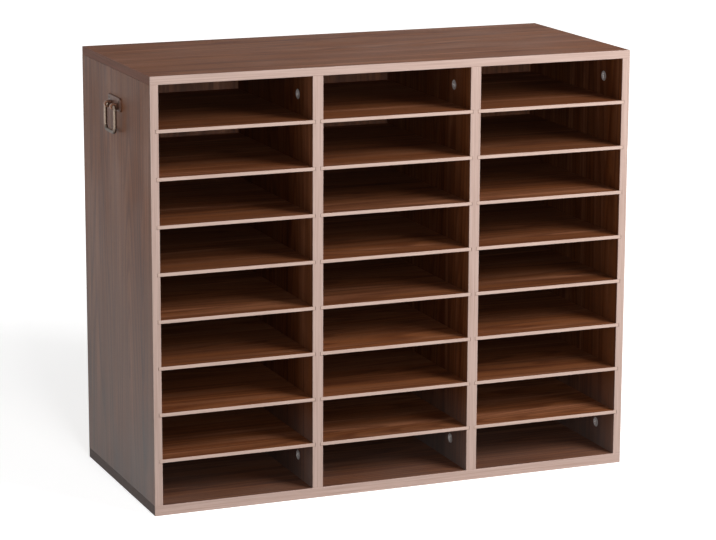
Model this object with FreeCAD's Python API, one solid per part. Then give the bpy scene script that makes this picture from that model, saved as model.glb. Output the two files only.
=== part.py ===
import FreeCAD, Part
import os

# Literature sorter: three columns of open compartments in a laminated particleboard carcass.
# +X is to the right as seen from the front, -Y is the open front, +Z is up.
# The origin is the middle of the underside. Every length is in millimetres.

# ---------------------------------------------------------------- carcass
overall_width = 740.0
overall_depth = 322.0
overall_height = 630.0
top_thickness = 12.0
bottom_thickness = 15.0
side_thickness = 12.0
divider_thickness = 16.0

# Edge bands: plastic strips glued over the boards' raw front and end edges.
band_thickness = 1.0
band_edge_radius = 0.6

# Back panel: hardboard that slides in grooves, in front of the carcass's rear edges.
back_thickness = 3.0
back_inset = 8.0
back_groove_depth = 5.0
back_groove_play = 0.4
back_edge_gap = 0.5

# ---------------------------------------------------------------- shelves
column_names = ["left", "middle", "right"]
row_count = 9
shelf_thickness = 5.0
shelf_edge_radius = 0.5
shelf_groove_depth = 4.5
shelf_groove_play = 0.4
shelf_end_gap = 0.5
shelf_rear_gap = 0.3

# ---------------------------------------------------------------- cam locks and dowels
cam_diameter = 15.0
cam_setback = 60.0
cam_reach = 34.0
cam_rear_wall = 1.0
cam_gap = 0.1
cam_floor_gap = 0.2
cam_cavity_radius = 5.5
cam_recess_width = 1.6
cam_recess_span = 8.0
cam_recess_depth = 1.5

bolt_head_diameter = 6.0
bolt_head_length = 3.0
bolt_head_gap = 0.2
bolt_neck_diameter = 4.0
bolt_neck_gap = 0.4
bolt_shaft_diameter = 6.0
bolt_bore_gap = 0.5
bolt_shoulder_gap = 0.5
bolt_thread_diameter = 5.0
bolt_thread_length = 8.5

dowel_diameter = 6.0
dowel_setback = 28.0
dowel_in_panel = 8.0
dowel_in_upright = 20.0
hole_gap = 0.05
hole_end_gap = 1.0

# ---------------------------------------------------------------- back screws
back_screw_diameter = 3.0
back_screw_length = 16.0
back_screw_head_diameter = 6.0
back_screw_head_height = 2.0
back_screw_edge_distance = 60.0
back_screw_hole_gap = 0.2
screw_recess_width = 0.8
screw_recess_span = 3.2
screw_recess_depth = 1.0

# ---------------------------------------------------------------- handles
handle_drop = 63.0
bail_standoff = 8.0
bail_wire_diameter = 5.0
bail_width = 45.0
bail_drop = 37.0
bail_top_bend = 4.5
bail_bottom_bend = 8.0
bail_pin_length = 8.0
bail_pivot_gap = 0.05
lug_width = 6.0
lug_wall = 2.2
lug_side_gap = 1.0
plate_width = 58.0
plate_height = 20.0
plate_rise = 3.0
plate_thickness = 2.2
plate_corner_radius = 4.0
plate_edge_radius = 0.7
handle_screw_spacing = 45.0
handle_screw_rise = 5.0
handle_screw_diameter = 3.5
handle_screw_head_diameter = 6.8
handle_screw_hole_gap = 0.15
handle_screw_tip_cover = 1.0

# ---------------------------------------------------------------- worked out from the values above
half_width = overall_width / 2
front = -overall_depth / 2
rear = overall_depth / 2
board_front = front + band_thickness
panel_underside = overall_height - top_thickness
upright_height = panel_underside - bottom_thickness
column_width = (overall_width - 2 * side_thickness - 2 * divider_thickness) / 3
row_height = (upright_height - (row_count - 1) * shelf_thickness) / row_count
back_rear = rear - back_inset
back_front = back_rear - back_thickness

side_inner = half_width - side_thickness
divider_inner = column_width / 2
divider_outer = divider_inner + divider_thickness
divider_middle = divider_inner + divider_thickness / 2

# Each wall of a compartment: where its face is, and which way along X its board lies behind it.
left_side_wall = (-side_inner, -1)
left_divider_left_wall = (-divider_outer, 1)
left_divider_right_wall = (-divider_inner, -1)
right_divider_left_wall = (divider_inner, 1)
right_divider_right_wall = (divider_outer, -1)
right_side_wall = (side_inner, 1)

# Each end of an upright: the height of the joint, and which way along Z its panel lies.
top_joint = (panel_underside, 1)
bottom_joint = (bottom_thickness, -1)
joints = [top_joint, bottom_joint]

cam_places = [front + cam_setback, rear - cam_setback]
dowel_places = [front + dowel_setback, 0.0, rear - dowel_setback]
overrun = 1.0

os.makedirs("parts", exist_ok=True)


def save(name, shape):
    """Write one named piece, or one group of like pieces, to its own file."""
    shape.exportStep("parts/" + name + ".step")


def box(x_one, x_two, y_one, y_two, z_one, z_two):
    """A block between two values on each axis, given in either order."""
    corner = FreeCAD.Vector(min(x_one, x_two), min(y_one, y_two), min(z_one, z_two))
    size = FreeCAD.Vector(abs(x_two - x_one), abs(y_two - y_one), abs(z_two - z_one))
    return Part.makeBox(size.x, size.y, size.z, corner)


def rod(diameter, start, end):
    """A round rod from one point to another."""
    start = FreeCAD.Vector(*start)
    along = FreeCAD.Vector(*end) - start
    return Part.makeCylinder(diameter / 2, along.Length, start, along)


def cone(start_diameter, end_diameter, start, end):
    """A round tapered rod from one point to another."""
    start = FreeCAD.Vector(*start)
    along = FreeCAD.Vector(*end) - start
    return Part.makeCone(start_diameter / 2, end_diameter / 2, along.Length, start, along)


def round_edges(shape, radius, wanted):
    """Round the straight edges whose two ends both satisfy a test."""
    edges = [edge for edge in shape.Edges if all(wanted(vertex.Point) for vertex in edge.Vertexes)]
    return shape.makeFillet(radius, edges)


def at(value, place):
    """Whether a coordinate lies at a place, to a thousandth of a millimetre."""
    return abs(value - place) < 0.001


# ---------------------------------------------------------------- shelves and their grooves
def shelf_underside(row):
    """Height of a shelf's lower face, counted from 1 for the highest shelf."""
    return panel_underside - row * (row_height + shelf_thickness)


def shelf_grooves(wall):
    """The grooves cut into one wall for a column's shelves, open at the front."""
    face, into = wall
    floor = face + into * shelf_groove_depth
    open_side = face - into * overrun
    grooves = []
    for row in range(1, row_count):
        low = shelf_underside(row) - shelf_groove_play / 2
        high = low + shelf_thickness + shelf_groove_play
        grooves.append(box(open_side, floor, front - overrun, back_front, low, high))
    return Part.makeCompound(grooves)


def shelf(column_middle, row):
    """A loose shelf, held by its two ends in the grooves."""
    reach = column_width / 2 + shelf_groove_depth - shelf_end_gap
    low = shelf_underside(row)
    board = box(column_middle - reach, column_middle + reach,
                front, back_front - shelf_rear_gap, low, low + shelf_thickness)
    return round_edges(board, shelf_edge_radius,
                       lambda point: at(point.y, front))


def shelves():
    """Each column's shelves, numbered from the top."""
    for place, name in enumerate(column_names):
        column_middle = (place - 1) * (column_width + divider_thickness)
        for row in range(1, row_count):
            save("shelf_" + name + "_" + str(row), shelf(column_middle, row))


# ---------------------------------------------------------------- cam locks, cam bolts and dowels
def cam_depth(board_thickness):
    """Depth of a cam lock whose bolt runs along the middle of its board."""
    return board_thickness / 2 + bolt_head_diameter / 2 + bolt_head_gap + cam_rear_wall


def bolt_line(wall, board_thickness):
    """Where a wall's cam bolts lie along X: in the middle of its board."""
    face, into = wall
    return face + into * board_thickness / 2


def cam_centre_height(joint):
    """Height of the cam locks at one end of an upright."""
    height, toward_panel = joint
    return height - toward_panel * cam_reach


def cam_lock(wall, board_thickness, y, joint):
    """A zinc disc with a hollow for the bolt's head, a slot for its neck and a cross recess."""
    face, into = wall
    toward_panel = joint[1]
    z = cam_centre_height(joint)
    bolt_x = bolt_line(wall, board_thickness)
    disc = rod(cam_diameter, (face, y, z), (face + into * cam_depth(board_thickness), y, z))
    hollow_half = bolt_head_diameter / 2 + bolt_head_gap
    hollow = rod(2 * cam_cavity_radius, (bolt_x - hollow_half, y, z), (bolt_x + hollow_half, y, z))
    slot_half = bolt_neck_diameter / 2 + bolt_neck_gap
    slot = box(bolt_x - slot_half, bolt_x + slot_half, y - slot_half, y + slot_half,
               z, z + toward_panel * cam_diameter / 2)
    recess_floor = face + into * cam_recess_depth
    bar_one = box(face, recess_floor, y - cam_recess_span / 2, y + cam_recess_span / 2,
                  z - cam_recess_width / 2, z + cam_recess_width / 2)
    bar_two = box(face, recess_floor, y - cam_recess_width / 2, y + cam_recess_width / 2,
                  z - cam_recess_span / 2, z + cam_recess_span / 2)
    return disc.cut([hollow, slot, bar_one, bar_two])


def cam_pockets(wall, board_thickness):
    """The pockets bored into one wall for its cam locks, and the bolts' bores from the board's ends."""
    face, into = wall
    floor = face + into * (cam_depth(board_thickness) + cam_floor_gap)
    bolt_x = bolt_line(wall, board_thickness)
    pockets = []
    for joint in joints:
        z = cam_centre_height(joint)
        for y in cam_places:
            pockets.append(rod(cam_diameter + 2 * cam_gap, (face - into * overrun, y, z), (floor, y, z)))
            end = joint[0] + joint[1] * overrun
            pockets.append(rod(bolt_shaft_diameter + 2 * bolt_bore_gap, (bolt_x, y, z), (bolt_x, y, end)))
    return pockets


def cam_locks(walls, board_thickness):
    """All the cam locks in boards of one thickness."""
    return Part.makeCompound([cam_lock(wall, board_thickness, y, joint)
                              for wall in walls for y in cam_places for joint in joints])


def cam_bolt(x, y, joint):
    """A steel bolt: its thread in the panel, its shaft and neck in the upright, its head in the cam."""
    height, toward_panel = joint
    head_middle = cam_centre_height(joint)
    head_end = head_middle - toward_panel * bolt_head_length / 2
    head_start = head_middle + toward_panel * bolt_head_length / 2
    shoulder = head_middle + toward_panel * (cam_diameter / 2 + bolt_shoulder_gap)
    head = rod(bolt_head_diameter, (x, y, head_end), (x, y, head_start))
    neck = rod(bolt_neck_diameter, (x, y, head_start), (x, y, shoulder))
    shaft = rod(bolt_shaft_diameter, (x, y, shoulder), (x, y, height))
    thread = rod(bolt_thread_diameter, (x, y, height), (x, y, height + toward_panel * bolt_thread_length))
    return head.fuse([neck, shaft, thread]).removeSplitter()


def dowel(x, y, joint):
    """A beech dowel, part in the panel and part in the upright's end."""
    height, toward_panel = joint
    panel_end = height + toward_panel * dowel_in_panel
    upright_end = height - toward_panel * dowel_in_upright
    return rod(dowel_diameter, (x, y, upright_end), (x, y, panel_end))


def dowel_holes(x, joint, length, away):
    """Blind holes for one board's dowels, in the panel or in the upright."""
    height = joint[0]
    end = height + away * (length + hole_end_gap)
    start = height - away * overrun
    return [rod(dowel_diameter + 2 * hole_gap, (x, y, start), (x, y, end)) for y in dowel_places]


def bolt_holes(x, joint):
    """Holes in the top or bottom panel that one board's cam bolts are screwed into."""
    height, toward_panel = joint
    start = height - toward_panel * overrun
    end = height + toward_panel * (bolt_thread_length + hole_end_gap)
    return [rod(bolt_thread_diameter + 2 * hole_gap, (x, y, start), (x, y, end)) for y in cam_places]


# Along X, the middle of every upright's thickness, where its bolts and dowels lie.
upright_middles = [bolt_line(left_side_wall, side_thickness), -divider_middle,
                   divider_middle, bolt_line(right_side_wall, side_thickness)]


def fittings():
    """The hardware that draws the carcass together, each kind in one group."""
    save("side_cam_locks", cam_locks([left_side_wall, right_side_wall], side_thickness))
    save("divider_cam_locks", cam_locks([left_divider_left_wall, right_divider_left_wall],
                                        divider_thickness))
    save("cam_bolts", Part.makeCompound([cam_bolt(x, y, joint) for x in upright_middles
                                         for y in cam_places for joint in joints]))
    save("wood_dowels", Part.makeCompound([dowel(x, y, joint) for x in upright_middles
                                           for y in dowel_places for joint in joints]))


# ---------------------------------------------------------------- back panel and its screws
def back_panel_reach():
    """Half of the back panel's width, into the grooves of both sides."""
    return side_inner + back_groove_depth - back_edge_gap


def back_groove(x_one, x_two, z_one, z_two):
    """The groove that holds the back panel, between two places on X and on Z."""
    play = back_groove_play / 2
    return box(x_one, x_two, back_front - play, back_rear + play, z_one, z_two)


def back_screw_heights():
    """Three screws to a divider: near its ends and in the middle."""
    low = bottom_thickness + back_screw_edge_distance
    high = panel_underside - back_screw_edge_distance
    return [low, (low + high) / 2, high]


def back_screw(x, z):
    """A pan-head screw through the back panel into a divider's rear edge."""
    tip = back_rear - back_screw_length
    head_top = back_rear + back_screw_head_height
    shank = rod(back_screw_diameter, (x, tip, z), (x, back_rear, z))
    head = rod(back_screw_head_diameter, (x, back_rear, z), (x, head_top, z))
    head = round_edges(head, back_screw_head_height / 2, lambda point: at(point.y, head_top))
    recess_floor = head_top - screw_recess_depth
    bar_one = box(x - screw_recess_span / 2, x + screw_recess_span / 2, recess_floor, head_top,
                  z - screw_recess_width / 2, z + screw_recess_width / 2)
    bar_two = box(x - screw_recess_width / 2, x + screw_recess_width / 2, recess_floor, head_top,
                  z - screw_recess_span / 2, z + screw_recess_span / 2)
    return shank.fuse(head).cut([bar_one, bar_two])


def back_screw_holes(x, diameter, start, end):
    """Holes for the screws of one divider, along Y between two places."""
    return [rod(diameter, (x, start, z), (x, end, z)) for z in back_screw_heights()]


def back():
    """The hardboard back panel and the screws that hold it to the dividers."""
    low = bottom_thickness - back_groove_depth + back_edge_gap
    high = panel_underside + back_groove_depth - back_edge_gap
    panel = box(-back_panel_reach(), back_panel_reach(), back_front, back_rear, low, high)
    holes = []
    for x in [-divider_middle, divider_middle]:
        holes += back_screw_holes(x, back_screw_diameter + 2 * back_screw_hole_gap,
                                  back_front - overrun, back_rear + overrun)
    save("back_panel", panel.cut(holes))
    save("back_screws", Part.makeCompound([back_screw(x, z) for x in [-divider_middle, divider_middle]
                                           for z in back_screw_heights()]))


# ---------------------------------------------------------------- top and bottom panels
def end_panel(joint, outer_face):
    """The top or the bottom panel, without its edge bands."""
    height, toward_panel = joint
    reach = half_width - band_thickness
    panel = box(-reach, reach, board_front, rear, height, outer_face)
    groove_half = back_panel_reach() + back_edge_gap
    cuts = [back_groove(-groove_half, groove_half, height - toward_panel * overrun,
                        height + toward_panel * back_groove_depth)]
    for x in upright_middles:
        cuts += bolt_holes(x, joint)
        cuts += dowel_holes(x, joint, dowel_in_panel, toward_panel)
    return panel.cut(cuts)


def front_band(height, outer_face):
    """The pale band along the full front edge of the top or bottom panel."""
    band = box(-half_width, half_width, front, board_front, height, outer_face)
    return round_edges(band, band_edge_radius, lambda point: at(point.y, front))


def end_bands(height, outer_face):
    """The dark bands on the two ends of the top or bottom panel."""
    bands = []
    for side in [-1, 1]:
        end = side * half_width
        band = box(end - side * band_thickness, end, board_front, rear, height, outer_face)
        bands.append(round_edges(band, band_edge_radius, lambda point: at(point.x, end)))
    return Part.makeCompound(bands)


def end_panels():
    """The panels that cap the uprights above and below, with their edge bands."""
    for name, joint, outer_face in [("top", top_joint, overall_height), ("bottom", bottom_joint, 0.0)]:
        save(name + "_panel", end_panel(joint, outer_face))
        save(name + "_front_edge_band", front_band(joint[0], outer_face))
        save(name + "_end_edge_bands", end_bands(joint[0], outer_face))


# ---------------------------------------------------------------- uprights
def upright_cuts(x_middle):
    """The dowel holes in both ends of one upright."""
    cuts = []
    for joint in joints:
        cuts += dowel_holes(x_middle, joint, dowel_in_upright, -joint[1])
    return cuts


def upright_front_band(x_one, x_two, walls):
    """The pale band along an upright's front edge, notched where its grooves run out."""
    band = box(x_one, x_two, front, board_front, bottom_thickness, panel_underside)
    band = round_edges(band, band_edge_radius,
                       lambda point: at(point.y, front) and (at(point.x, x_one) or at(point.x, x_two)))
    return band.cut([shelf_grooves(wall) for wall in walls])


def side_panel(wall):
    """A side: shelf grooves and cam pockets in its inner face, and the handle's screw holes."""
    face, into = wall
    outer = into * half_width
    panel = box(face, outer, board_front, rear, bottom_thickness, panel_underside)
    cuts = [shelf_grooves(wall)]
    cuts += cam_pockets(wall, side_thickness)
    cuts += upright_cuts(bolt_line(wall, side_thickness))
    cuts.append(back_groove(face - into * overrun, face + into * back_groove_depth,
                            bottom_thickness - overrun, panel_underside + overrun))
    hole_end = outer - into * (handle_screw_in_board + hole_end_gap)
    for y, z in handle_screw_places:
        cuts.append(rod(handle_screw_diameter + 2 * hole_gap, (outer + into * overrun, y, z),
                        (hole_end, y, z)))
    return panel.cut(cuts)


def divider(left_wall, right_wall):
    """A divider: shelf grooves in both faces, and cam pockets in its left face."""
    panel = box(left_wall[0], right_wall[0], board_front, back_front,
                bottom_thickness, panel_underside)
    x_middle = bolt_line(left_wall, divider_thickness)
    cuts = [shelf_grooves(left_wall), shelf_grooves(right_wall)]
    cuts += cam_pockets(left_wall, divider_thickness)
    cuts += upright_cuts(x_middle)
    cuts += back_screw_holes(x_middle, back_screw_diameter + 2 * hole_gap,
                             back_rear - back_screw_length - hole_end_gap, back_front + overrun)
    return panel.cut(cuts)


def uprights():
    """The two sides and the two dividers, each with its front edge band."""
    for name, wall in [("left_side", left_side_wall), ("right_side", right_side_wall)]:
        save(name + "_panel", side_panel(wall))
        save(name + "_front_edge_band", upright_front_band(wall[0], wall[1] * half_width, [wall]))
    for name, left_wall, right_wall in [
            ("left_divider", left_divider_left_wall, left_divider_right_wall),
            ("right_divider", right_divider_left_wall, right_divider_right_wall)]:
        save(name, divider(left_wall, right_wall))
        save(name + "_front_edge_band",
             upright_front_band(left_wall[0], right_wall[0], [left_wall, right_wall]))


# ---------------------------------------------------------------- handles
# The handle is worked out on the right side and mirrored for the left.
handle_height = overall_height - handle_drop
bail_axis_x = half_width + bail_standoff
lug_radius = bail_wire_diameter / 2 + lug_wall
bail_arm = bail_width / 2
lug_outer = bail_arm - bail_top_bend - lug_side_gap
plate_face = half_width + plate_thickness
plate_middle = handle_height + plate_rise
handle_screw_height = handle_height + plate_rise + handle_screw_rise
handle_screw_places = [(-handle_screw_spacing / 2, handle_screw_height),
                       (handle_screw_spacing / 2, handle_screw_height)]
handle_screw_in_board = side_thickness - shelf_groove_depth - handle_screw_tip_cover


def handle_plate():
    """A cast plate with two lugs that carry the bail's inturned ends."""
    plate = box(half_width, plate_face, -plate_width / 2, plate_width / 2,
                plate_middle - plate_height / 2, plate_middle + plate_height / 2)
    corners = [edge for edge in plate.Edges
               if not at(edge.Vertexes[0].X, edge.Vertexes[1].X)]
    plate = plate.makeFillet(plate_corner_radius, corners)
    rim = [edge for edge in plate.Edges if all(at(vertex.X, plate_face) for vertex in edge.Vertexes)]
    plate = plate.makeFillet(plate_edge_radius, rim)
    lugs = []
    for side in [-1, 1]:
        near = side * (lug_outer - lug_width)
        far = side * lug_outer
        lugs.append(rod(2 * lug_radius, (bail_axis_x, near, handle_height),
                        (bail_axis_x, far, handle_height)))
        lugs.append(box(half_width, bail_axis_x, near, far,
                        handle_height - lug_radius, handle_height + lug_radius))
    plate = plate.fuse(lugs).removeSplitter()
    bore = rod(bail_wire_diameter + 2 * bail_pivot_gap,
               (bail_axis_x, -bail_arm, handle_height), (bail_axis_x, bail_arm, handle_height))
    holes = [bore]
    for y, z in handle_screw_places:
        holes.append(rod(handle_screw_diameter + 2 * handle_screw_hole_gap,
                         (half_width - overrun, y, z), (plate_face + overrun, y, z)))
        holes.append(countersink(y, z, handle_screw_hole_gap))
    return plate.cut(holes)


def countersink(y, z, gap):
    """The cone under a handle screw's flat head, or its seat in the plate with a gap all round."""
    depth = (handle_screw_head_diameter - handle_screw_diameter) / 2
    return cone(handle_screw_diameter + 2 * gap, handle_screw_head_diameter + 2 * gap,
                (plate_face - depth, y, z), (plate_face, y, z))


def handle_screw(y, z):
    """A countersunk screw that stops short of the shelf grooves in the side's inner face."""
    shank = rod(handle_screw_diameter, (half_width - handle_screw_in_board, y, z), (plate_face, y, z))
    recess_floor = plate_face - screw_recess_depth
    bar_one = box(recess_floor, plate_face, y - screw_recess_span / 2, y + screw_recess_span / 2,
                  z - screw_recess_width / 2, z + screw_recess_width / 2)
    bar_two = box(recess_floor, plate_face, y - screw_recess_width / 2, y + screw_recess_width / 2,
                  z - screw_recess_span / 2, z + screw_recess_span / 2)
    return shank.fuse(countersink(y, z, 0.0)).cut([bar_one, bar_two])


def handle_bail():
    """A drop bail bent from round wire: two pins, two arms and a bottom bar."""
    def point(y, z):
        return FreeCAD.Vector(bail_axis_x, y, handle_height + z)

    def bend(start, corner_centre, radius, end, outward_y, outward_z):
        diagonal = radius / 2 ** 0.5
        middle = point(corner_centre[0] + outward_y * diagonal, corner_centre[1] + outward_z * diagonal)
        return Part.Arc(start, middle, end).toShape()

    pin_start = lug_outer - bail_pin_length
    edges = []
    for side in [1, -1]:
        top_in = point(side * (bail_arm - bail_top_bend), 0.0)
        top_out = point(side * bail_arm, -bail_top_bend)
        low_out = point(side * bail_arm, -bail_drop + bail_bottom_bend)
        low_in = point(side * (bail_arm - bail_bottom_bend), -bail_drop)
        run = [Part.makeLine(point(side * pin_start, 0.0), top_in),
               bend(top_in, (side * (bail_arm - bail_top_bend), -bail_top_bend), bail_top_bend,
                    top_out, side, 1),
               Part.makeLine(top_out, low_out),
               bend(low_out, (side * (bail_arm - bail_bottom_bend), -bail_drop + bail_bottom_bend),
                    bail_bottom_bend, low_in, side, -1)]
        edges.append(run)
    bottom_bar = Part.makeLine(point(bail_arm - bail_bottom_bend, -bail_drop),
                               point(-bail_arm + bail_bottom_bend, -bail_drop))
    path = Part.Wire(edges[0] + [bottom_bar] + edges[1][::-1])
    circle = Part.makeCircle(bail_wire_diameter / 2, point(pin_start, 0.0), FreeCAD.Vector(0, 1, 0))
    return path.makePipeShell([Part.Wire(circle)], True, True)


def handles():
    """Both handles: plate, bail and screws."""
    pieces = {"plate": handle_plate(), "bail": handle_bail(),
              "screws": Part.makeCompound([handle_screw(y, z) for y, z in handle_screw_places])}
    for name, shape in pieces.items():
        save("right_handle_" + name, shape)
        save("left_handle_" + name, shape.mirror(FreeCAD.Vector(0, 0, 0), FreeCAD.Vector(1, 0, 0)))


end_panels()
uprights()
shelves()
fittings()
back()
handles()
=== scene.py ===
import math
import bpy
import numpy as np
from mathutils import Matrix, Vector


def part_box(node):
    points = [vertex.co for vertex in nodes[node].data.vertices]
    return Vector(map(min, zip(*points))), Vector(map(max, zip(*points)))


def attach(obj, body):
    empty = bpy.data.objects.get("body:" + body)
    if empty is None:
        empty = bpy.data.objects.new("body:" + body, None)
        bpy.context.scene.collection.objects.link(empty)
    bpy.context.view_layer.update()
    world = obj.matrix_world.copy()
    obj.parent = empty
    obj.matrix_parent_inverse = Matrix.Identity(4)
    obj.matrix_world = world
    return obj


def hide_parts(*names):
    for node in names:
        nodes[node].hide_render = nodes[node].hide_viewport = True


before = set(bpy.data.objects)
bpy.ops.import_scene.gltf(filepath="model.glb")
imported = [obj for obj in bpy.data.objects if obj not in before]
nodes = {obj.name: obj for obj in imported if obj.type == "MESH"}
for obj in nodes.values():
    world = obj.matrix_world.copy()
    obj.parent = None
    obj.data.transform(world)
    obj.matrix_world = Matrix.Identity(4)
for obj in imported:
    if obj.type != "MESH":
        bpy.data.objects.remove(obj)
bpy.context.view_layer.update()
mm = 0.001


# ---------- top and bottom panels
# Particleboard with walnut-print melamine paper pressed on both faces, the grain running from side to
# side. Both panels cap the uprights. The rear edge is left as sawn, so its wood chips show.
def linear(code):
    """The linear colour, with alpha, of an sRGB hex code: a straight foot, then a power of 2.4."""
    value = np.array([int(code[place:place + 2], 16) for place in (1, 3, 5)]) / 255
    value = np.where(value <= 0.04045, value / 12.92, ((value + 0.055) / 1.055) ** 2.4)
    return (*value.tolist(), 1.0)


# A noise seldom leaves this range, and each use of it spreads the range between two values.
usual = {"From Min": 0.3, "From Max": 0.7}


def add(tree, kind, inputs=None, stops=None, **settings):
    """Add a shader node: its settings, its ramp's stops, and a value, hex colour or link for each input."""
    node = tree.nodes.new("ShaderNode" + kind)
    for name, value in settings.items():
        setattr(node, name, value)
    for place, (position, code) in enumerate(stops or []):
        elements = node.color_ramp.elements
        element = elements[place] if place < 2 else elements.new(position)
        element.position = position
        element.color = linear(code)
    for name, value in (inputs or {}).items():
        if isinstance(value, bpy.types.Node):
            value = next(output for output in value.outputs if output.enabled)
        if isinstance(value, bpy.types.NodeSocket):
            tree.links.new(value, node.inputs[name])
        else:
            node.inputs[name].default_value = linear(value) if isinstance(value, str) else value
    return node


def new_material(name):
    """An empty material, and the tree for its nodes."""
    material = bpy.data.materials.new(name)
    material.use_nodes = True
    material.node_tree.nodes.clear()
    return material, material.node_tree


def finish_surface(material, colour, roughness, height, depth, **other):
    """Close a material: one shader, and a relief as deep as the real surface's."""
    tree = material.node_tree
    relief = add(tree, "Bump", {"Height": height, "Distance": depth, "Strength": 1.0})
    inputs = {"Base Color": colour, "Roughness": roughness, "Normal": relief}
    inputs.update({name.replace("_", " "): value for name, value in other.items()})
    shader = add(tree, "BsdfPrincipled", inputs)
    add(tree, "OutputMaterial", {"Surface": shader})
    return material


def give_material(material, names):
    """Give a material to the named pieces of the frame."""
    for name in names:
        for slot in nodes[name].material_slots:
            slot.material = material


def drawn_out(tree, grain, width, length, shift=0.0):
    """Object coordinates in units of a width across the grain and a length along it."""
    sizes = [length if axis == grain else width for axis in "XYZ"]
    place = add(tree, "TexCoord").outputs["Object"]
    return add(tree, "Mapping", {"Vector": place, "Scale": [1 / size for size in sizes],
                                 "Location": (shift, 1.7 * shift, 2.3 * shift)})


def place_along(tree, axis):
    """Each point's own place along an axis."""
    return add(tree, "SeparateXYZ", {"Vector": add(tree, "TexCoord").outputs["Object"]}).outputs[axis]


def beyond(tree, axis, limit, softness=0.05 * mm):
    """0 below a place on an axis and 1 above it."""
    return add(tree, "MapRange", {"Value": place_along(tree, axis), "From Min": limit - softness,
                                  "From Max": limit + softness})


def walnut_print(tree, grain, shift):
    """Printed walnut, as a colour and the height of its pores.

    Colour: bands 26 mm wide drift between red brown and grey brown. Growth lines are the contours of a
    drawn-out noise, about 8 mm apart, each darkening towards one side. Fibres and open pores are fine dark
    dashes along the grain.
    """
    growth_lines = 22.0
    fibre_share = 0.7
    pore_share = 0.45
    bands = add(tree, "TexNoise", {"Vector": drawn_out(tree, grain, 26 * mm, 700 * mm, shift), "Scale": 1.0,
                                   "Detail": 3.0, "Roughness": 0.55})
    colour = add(tree, "ValToRGB", {"Fac": bands},
                 stops=[(0.30, "#683A1F"), (0.70, "#A36C4C"), (0.44, "#86502D"), (0.56, "#845335")])
    flow = add(tree, "TexNoise", {"Vector": drawn_out(tree, grain, 75 * mm, 1500 * mm, shift + 3),
                                  "Scale": 1.0, "Detail": 1.5, "Roughness": 0.45})
    contours = add(tree, "Math", {0: flow, 1: growth_lines}, operation="MULTIPLY")
    rings = add(tree, "Math", {0: contours}, operation="FRACT")
    line = add(tree, "ValToRGB", {"Fac": rings},
               stops=[(0.0, "#FFFFFF"), (1.0, "#F6F3F1"), (0.45, "#F4F1EF"), (0.82, "#CDBFB6"),
                      (0.92, "#DFD7D1")])
    colour = add(tree, "Mix", {0: 1.0, 6: colour, 7: line}, data_type="RGBA", blend_type="MULTIPLY")
    fibre = add(tree, "TexNoise", {"Vector": drawn_out(tree, grain, 1.1 * mm, 90 * mm, shift), "Scale": 1.0,
                                   "Detail": 3.0, "Roughness": 0.6})
    shade = add(tree, "ValToRGB", {"Fac": fibre}, stops=[(0.3, "#C8BDB6"), (0.62, "#FFFFFF")])
    colour = add(tree, "Mix", {0: fibre_share, 6: colour, 7: shade}, data_type="RGBA", blend_type="MULTIPLY")
    # Real pores are 0.2 mm wide. These are 0.8 mm, so that they show as dashes.
    pore_noise = add(tree, "TexNoise", {"Vector": drawn_out(tree, grain, 0.8 * mm, 13 * mm, shift + 7),
                                        "Scale": 1.0, "Detail": 1.0})
    pores = add(tree, "MapRange", {"Value": pore_noise, "From Min": 0.60, "From Max": 0.68})
    darker = add(tree, "Math", {0: pores, 1: pore_share}, operation="MULTIPLY")
    colour = add(tree, "Mix", {0: darker, 6: colour, 7: "#37231A"}, data_type="RGBA")
    height = add(tree, "Math", {0: 1.0, 1: pores}, operation="SUBTRACT")
    return colour, height


def sawn_chips(tree):
    """Sawn particleboard, as a colour: flakes about 3 by 1 mm, each with its own shade, and dark gaps."""
    flakes = add(tree, "TexVoronoi", {"Vector": drawn_out(tree, "X", 1.0 * mm, 3.0 * mm), "Scale": 1.0})
    shade = add(tree, "SeparateColor", {"Color": flakes.outputs["Color"]})
    colour = add(tree, "ValToRGB", {"Fac": shade.outputs["Red"]},
                 stops=[(0.0, "#8A6848"), (1.0, "#C9A77C"), (0.4, "#A98660"), (0.7, "#B8956B")])
    gaps = add(tree, "MapRange", {"Value": flakes.outputs["Distance"], "From Min": 0.55, "From Max": 0.9})
    return add(tree, "Mix", {0: gaps, 6: colour, 7: "#5E4430"}, data_type="RGBA")


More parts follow.
